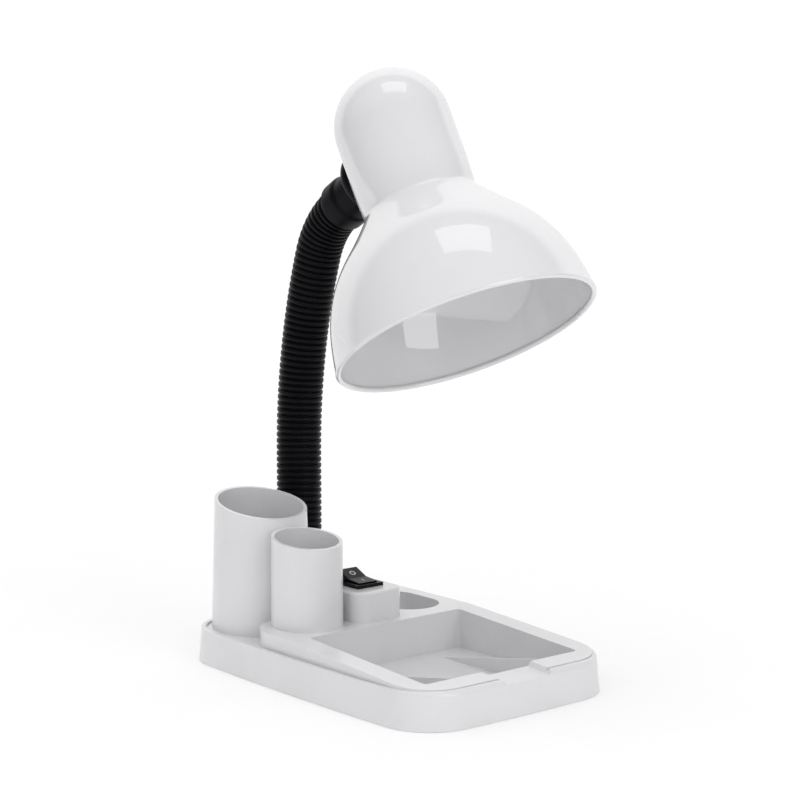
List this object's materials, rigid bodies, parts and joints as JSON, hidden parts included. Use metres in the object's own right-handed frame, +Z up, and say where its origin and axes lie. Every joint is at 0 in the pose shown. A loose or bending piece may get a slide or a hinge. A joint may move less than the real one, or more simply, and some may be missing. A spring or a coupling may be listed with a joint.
{
  "type": "desk lamp",
  "caption": "Desk lamp with a bell shade on a ribbed flexible neck and a white moulded organiser base with pen cups, memo tray, clip well and rocker switch.",
  "frame": {"origin": "middle of the underside of the base, on the table", "axes": "+X to the user's right, +Y to the back, +Z up; the tray and the shade's opening face -Y"},
  "size_m": [0.1219, 0.1857, 0.2742],
  "materials": {
    "white_plastic": "moulded, satin gloss",
    "black_plastic": "fine matte",
    "black_hose": "ribbed, satin",
    "core_steel": "oiled steel",
    "switch_plastic": "semi-gloss",
    "foot_rubber": "soft matte",
    "weight_iron": "raw",
    "shade_paint": "gloss enamel",
    "brass": "plain",
    "holder_plastic": "heat-proof moulding",
    "lead_cover": "soft cover",
    "zinc_steel": "zinc plated"
  },
  "bodies": {
    "base": {"base_shell": "white_plastic", "bottom_plate": "black_plastic", "base_weight": "weight_iron", "rubber_feet": "foot_rubber", "bottom_screws": "zinc_steel", "cord_grommet": "black_plastic", "switch_housing": "switch_plastic", "switch_terminals": "brass", "supply_lead": "lead_cover", "lamp_lead": "lead_cover", "neck_ferrule": "black_plastic", "neck_washer": "zinc_steel", "neck_lock_nut": "zinc_steel", "neck_hose_00": "black_hose", "neck_core_00": "core_steel"},
    "rocker": {"switch_rocker": "switch_plastic", "switch_plunger": "zinc_steel", "switch_spring": "zinc_steel"},
    "lever": {"contact_lever": "brass"},
    "neck_01": {"neck_hose_01": "black_hose", "neck_core_01": "core_steel"},
    "neck_02": {"neck_hose_02": "black_hose", "neck_core_02": "core_steel"},
    "neck_03": {"neck_hose_03": "black_hose", "neck_core_03": "core_steel"},
    "neck_04": {"neck_hose_04": "black_hose", "neck_core_04": "core_steel"},
    "neck_05": {"neck_hose_05": "black_hose", "neck_core_05": "core_steel"},
    "neck_06": {"neck_hose_06": "black_hose", "neck_core_06": "core_steel"},
    "neck_07": {"neck_hose_07": "black_hose", "neck_core_07": "core_steel"},
    "neck_08": {"neck_hose_08": "black_hose", "neck_core_08": "core_steel"},
    "neck_09": {"neck_hose_09": "black_hose", "neck_core_09": "core_steel"},
    "neck_10": {"neck_hose_10": "black_hose", "neck_core_10": "core_steel"},
    "neck_11": {"neck_hose_11": "black_hose", "neck_core_11": "core_steel"},
    "neck_12": {"neck_hose_12": "black_hose", "neck_core_12": "core_steel", "neck_collar": "black_plastic", "friction_washer": "zinc_steel"},
    "shade": {"shade": "shade_paint", "shade_rosette": "black_plastic", "swivel_pin": "zinc_steel", "saddle_spacer": "zinc_steel", "swivel_nut": "zinc_steel", "holder_strap": "zinc_steel", "holder_cap": "holder_plastic", "thread_sleeve": "brass", "centre_contact": "brass", "fixing_screw": "zinc_steel", "holder_lead": "lead_cover"}
  },
  "joints": [
    {"name": "switch_press", "type": "hinge", "parent": "base", "child": "rocker", "pos_m": [0.0015, 0.0287, 0.0361], "axis": [1, 0, 0], "range_deg": [-30, 0]},
    {"name": "contact_rock", "type": "hinge", "parent": "base", "child": "lever", "pos_m": [0.0015, 0.0287, 0.0263], "axis": [1, 0, 0], "range_deg": [0, 12]},
    {"name": "neck_bend_01", "type": "hinge", "parent": "base", "child": "neck_01", "pos_m": [0.004, 0.07554, 0.03955], "axis": [1, 0, 0], "range_deg": [-8, 5]},
    {"name": "neck_side_02", "type": "hinge", "parent": "neck_01", "child": "neck_02", "pos_m": [0.004, 0.07554, 0.0545], "axis": [0, 1, 0], "range_deg": [-4.5, 8]},
    {"name": "neck_bend_03", "type": "hinge", "parent": "neck_02", "child": "neck_03", "pos_m": [0.004, 0.07554, 0.06945], "axis": [1, 0, 0], "range_deg": [-9, 6]},
    {"name": "neck_side_04", "type": "hinge", "parent": "neck_03", "child": "neck_04", "pos_m": [0.004, 0.07554, 0.0844], "axis": [0, 1, 0], "range_deg": [-5.5, 9]},
    {"name": "neck_bend_05", "type": "hinge", "parent": "neck_04", "child": "neck_05", "pos_m": [0.004, 0.07546, 0.09935], "axis": [1, 0, 0], "range_deg": [-9, 6]},
    {"name": "neck_side_06", "type": "hinge", "parent": "neck_05", "child": "neck_06", "pos_m": [0.004, 0.07472, 0.11428], "axis": [0, 0.9972, 0.0751], "range_deg": [-5.5, 9]},
    {"name": "neck_bend_07", "type": "hinge", "parent": "neck_06", "child": "neck_07", "pos_m": [0.004, 0.07322, 0.12915], "axis": [1, 0, 0], "range_deg": [-9, 6]},
    {"name": "neck_side_08", "type": "hinge", "parent": "neck_07", "child": "neck_08", "pos_m": [0.004, 0.07095, 0.14393], "axis": [0, 0.9842, 0.1773], "range_deg": [-5.5, 9]},
    {"name": "neck_bend_09", "type": "hinge", "parent": "neck_08", "child": "neck_09", "pos_m": [0.004, 0.06792, 0.15856], "axis": [1, 0, 0], "range_deg": [-9, 6]},
    {"name": "neck_side_10", "type": "hinge", "parent": "neck_09", "child": "neck_10", "pos_m": [0.004, 0.06414, 0.17303], "axis": [0, 0.9607, 0.2777], "range_deg": [-5.5, 9]},
    {"name": "neck_bend_11", "type": "hinge", "parent": "neck_10", "child": "neck_11", "pos_m": [0.004, 0.05962, 0.18728], "axis": [1, 0, 0], "range_deg": [-9, 6]},
    {"name": "neck_side_12", "type": "hinge", "parent": "neck_11", "child": "neck_12", "pos_m": [0.004, 0.05224, 0.20018], "axis": [0, 0.762, 0.6475], "range_deg": [-5.5, 9]},
    {"name": "shade_swivel", "type": "hinge", "parent": "neck_12", "child": "shade", "pos_m": [0.004, 0.03745, 0.21169], "axis": [0, 0.8743, -0.4854], "range_deg": [-120, 120]}
  ],
  "couplings": [
    {"joint": "contact_rock", "follows": "switch_press", "ratio": -0.4},
    {"joint": "neck_bend_03", "follows": "neck_bend_01", "ratio": 1},
    {"joint": "neck_side_04", "follows": "neck_side_02", "ratio": 1},
    {"joint": "neck_bend_05", "follows": "neck_bend_01", "ratio": 1},
    {"joint": "neck_side_06", "follows": "neck_side_02", "ratio": 1},
    {"joint": "neck_bend_07", "follows": "neck_bend_01", "ratio": 1},
    {"joint": "neck_side_08", "follows": "neck_side_02", "ratio": 1},
    {"joint": "neck_bend_09", "follows": "neck_bend_01", "ratio": 1},
    {"joint": "neck_side_10", "follows": "neck_side_02", "ratio": 1},
    {"joint": "neck_bend_11", "follows": "neck_bend_01", "ratio": 1},
    {"joint": "neck_side_12", "follows": "neck_side_02", "ratio": 1}
  ]
}
